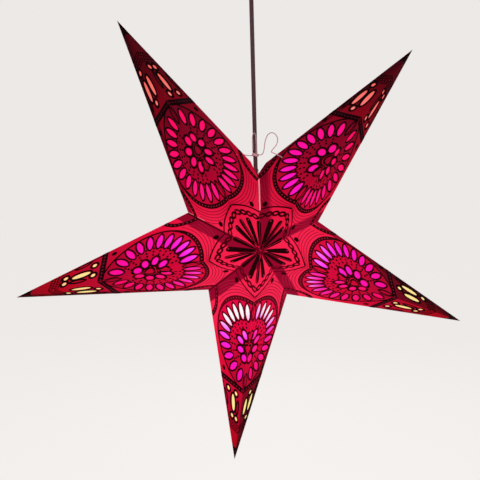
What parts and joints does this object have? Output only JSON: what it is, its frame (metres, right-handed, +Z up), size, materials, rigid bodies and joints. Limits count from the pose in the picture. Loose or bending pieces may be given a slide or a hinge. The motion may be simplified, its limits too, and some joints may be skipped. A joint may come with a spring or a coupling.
{
  "type": "paper star lantern",
  "caption": "Hanging folded paper star with cut and lined petal windows, tied round the cord of a small pendant lamp on a ceiling fitting",
  "frame": {"origin": "middle of the ceiling plate, on its top face", "axes": "+Z up out of the ceiling plate, -Y out of the front of the star, +X to the right as seen from the front"},
  "size_m": [0.5946, 0.1914, 0.6661],
  "materials": {
    "card": "matt printed card",
    "tissue": "lit tissue paper",
    "moulded_white": "satin moulded plastic",
    "steel": "zinc plated",
    "ceramic": "glazed",
    "copper": "drawn wire",
    "brass": "plated",
    "bulb_glass": "frosted",
    "filament": "phosphor coated",
    "cord": "smooth flex",
    "string": "twisted cotton"
  },
  "bodies": {
    "ceiling": {"ceiling_plate": "steel", "plate_screw_left": "steel", "plate_screw_right": "steel", "terminal_block": "ceramic", "supply_leads": "copper", "ceiling_cover": "moulded_white", "cord_grip": "moulded_white"},
    "swing_ball": {"cord_ball": "moulded_white"},
    "pendant": {"pendant_cord": "cord", "lampholder_cap": "moulded_white", "lampholder_skirt": "moulded_white", "shade_ring": "moulded_white", "holder_insert": "ceramic", "centre_contact": "brass"},
    "bulb": {"bulb_screw_cap": "brass", "bulb_glass": "bulb_glass", "bulb_filament": "filament"},
    "star": {"tie_knot": "string", "tie_string_left": "string", "tie_string_right": "string", "upper_right_arm_half1_front_card": "card", "upper_right_arm_half1_back_card": "card", "upper_right_arm_half2_front_card": "card", "upper_right_arm_half2_back_card": "card", "right_arm_half1_front_card": "card", "right_arm_half1_back_card": "card", "right_arm_half2_front_card": "card", "right_arm_half2_back_card": "card", "bottom_arm_half1_front_card": "card", "bottom_arm_half1_back_card": "card", "bottom_arm_half2_front_card": "card", "bottom_arm_half2_back_card": "card", "left_arm_half1_front_card": "card", "left_arm_half1_back_card": "card", "left_arm_half2_front_card": "card", "left_arm_half2_back_card": "card", "upper_left_arm_half1_front_card": "card", "upper_left_arm_half1_back_card": "card", "upper_left_arm_half2_front_card": "card", "upper_left_arm_half2_back_card": "card", "upper_right_arm_half1_front_tissue": "tissue", "upper_right_arm_half1_back_tissue": "tissue", "upper_right_arm_half2_front_tissue": "tissue", "upper_right_arm_half2_back_tissue": "tissue", "right_arm_half1_front_tissue": "tissue", "right_arm_half1_back_tissue": "tissue", "right_arm_half2_front_tissue": "tissue", "right_arm_half2_back_tissue": "tissue", "bottom_arm_half1_front_tissue": "tissue", "bottom_arm_half1_back_tissue": "tissue", "bottom_arm_half2_front_tissue": "tissue", "bottom_arm_half2_back_tissue": "tissue", "left_arm_half1_front_tissue": "tissue", "left_arm_half1_back_tissue": "tissue", "left_arm_half2_front_tissue": "tissue", "left_arm_half2_back_tissue": "tissue", "upper_left_arm_half1_front_tissue": "tissue", "upper_left_arm_half1_back_tissue": "tissue", "upper_left_arm_half2_front_tissue": "tissue", "upper_left_arm_half2_back_tissue": "tissue"}
  },
  "joints": [
    {"name": "swing_side", "type": "hinge", "parent": "ceiling", "child": "swing_ball", "pos_m": [0, 0, -0.046], "axis": [0, 1, 0], "range_deg": [-15, 15]},
    {"name": "swing_fore_aft", "type": "hinge", "parent": "swing_ball", "child": "pendant", "pos_m": [0, 0, -0.046], "axis": [1, 0, 0], "range_deg": [-15, 15]},
    {"name": "star_swivel", "type": "hinge", "parent": "pendant", "child": "star", "pos_m": [0.0038, 0, -0.26387], "axis": [-0.0175, 0, 0.9998], "continuous": true},
    {"name": "bulb_unscrew", "type": "hinge", "parent": "pendant", "child": "bulb", "pos_m": [0.00497, 0, -0.33096], "axis": [-0.0175, 0, 0.9998], "range_deg": [0, 1080]}
  ]
}
